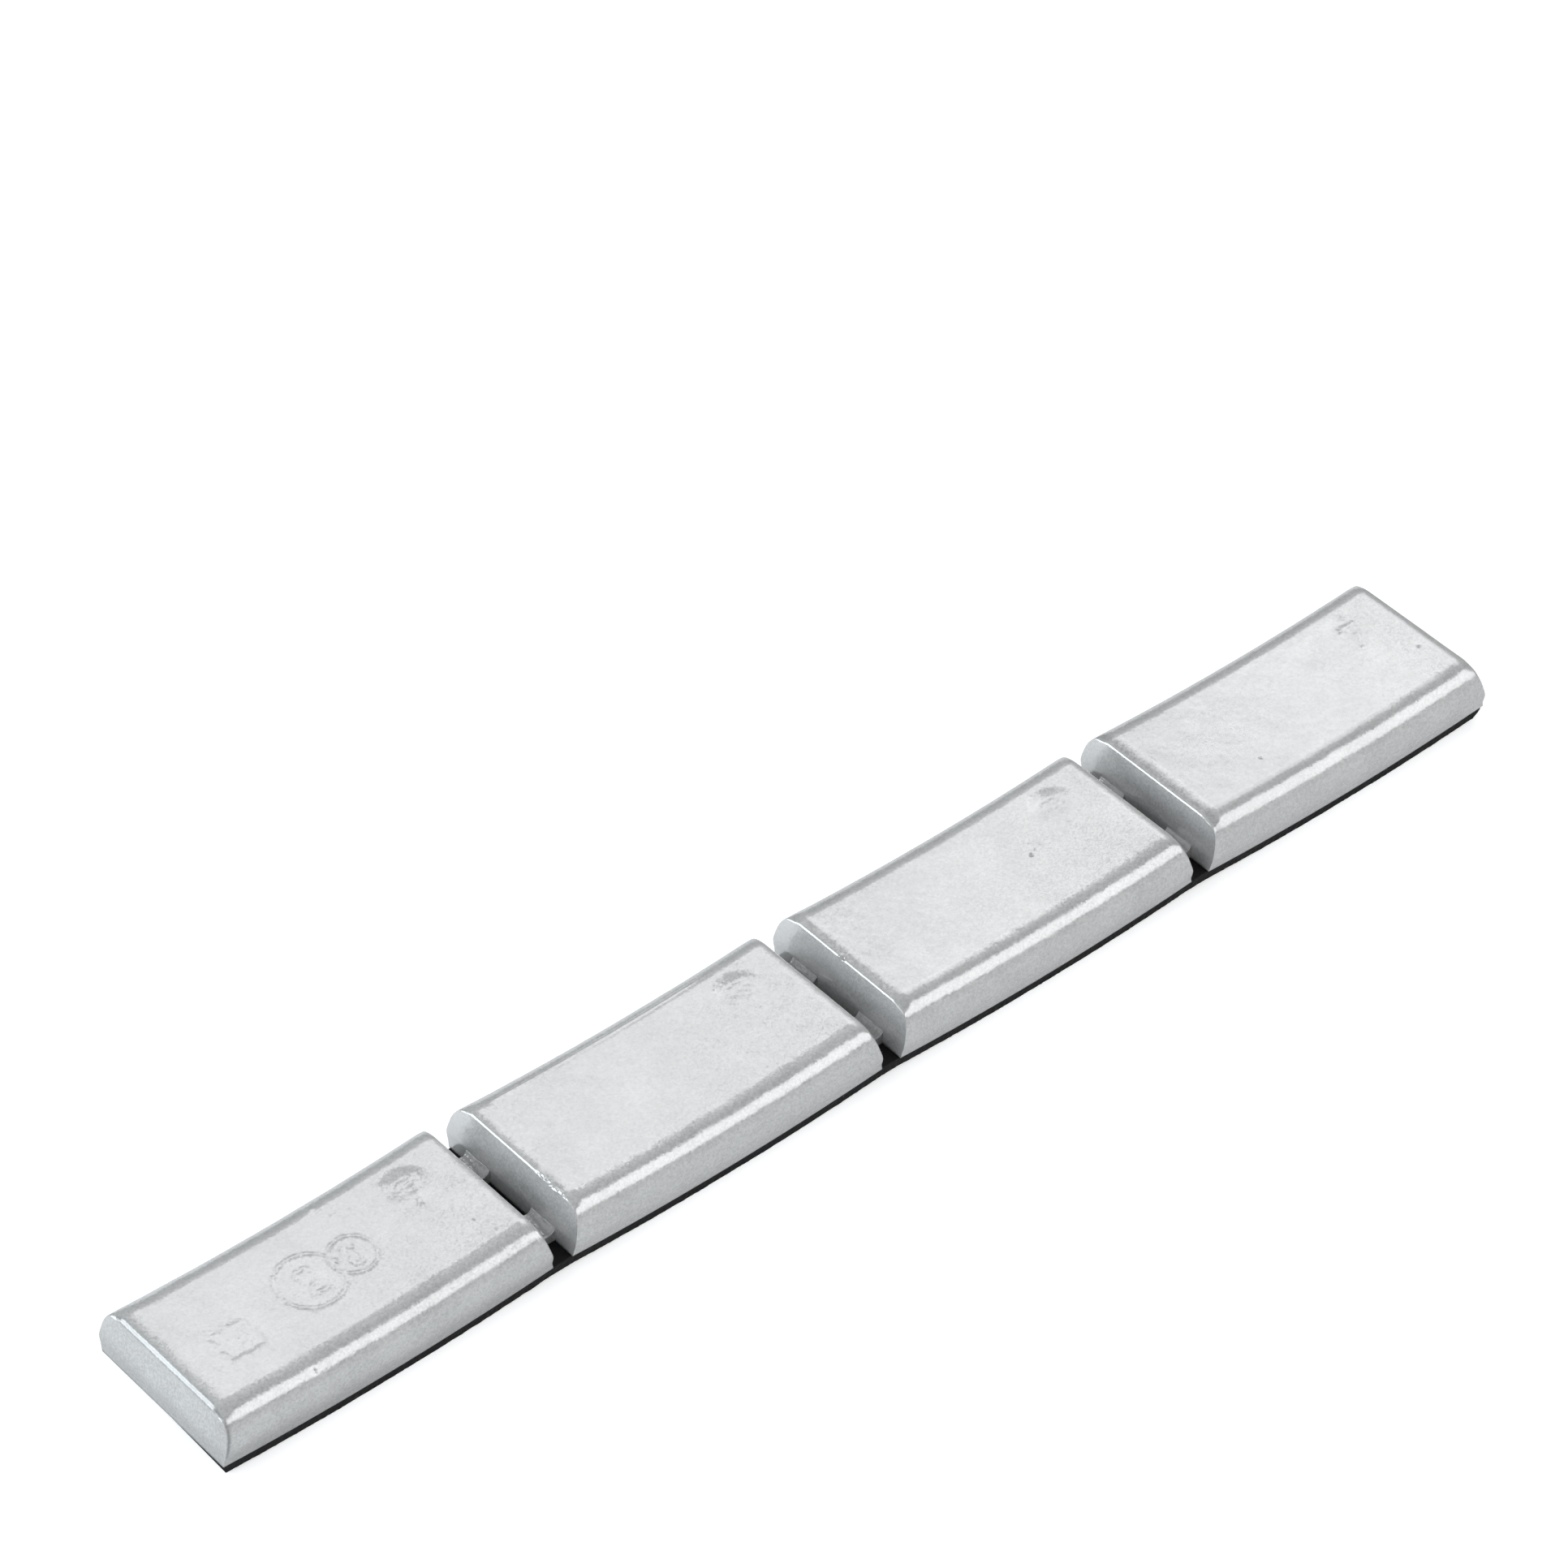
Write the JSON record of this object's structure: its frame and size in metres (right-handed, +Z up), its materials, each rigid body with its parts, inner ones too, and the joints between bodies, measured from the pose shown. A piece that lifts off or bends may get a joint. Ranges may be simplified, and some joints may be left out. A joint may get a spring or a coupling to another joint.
{
  "type": "wheel balance weight",
  "caption": "Stick-on wheel balance weight: a row of bent cast zinc blocks joined by thin break-off webs, painted silver, on one strip of black foam tape.",
  "frame": {"origin": "under the middle of the strip, level with the lowest lines of the tape", "axes": "+X along the strip, +Y across it, +Z up from the tape to the painted top"},
  "size_m": [0.1438, 0.0176, 0.0066],
  "materials": {
    "silver_paint": "satin silver paint with a fine metallic grain, over a zinc casting",
    "black_foam": "matt black closed-cell foam with cut edges"
  },
  "bodies": {
    "root": {"casting": "silver_paint", "foam_tape": "black_foam"}
  },
  "joints": []
}
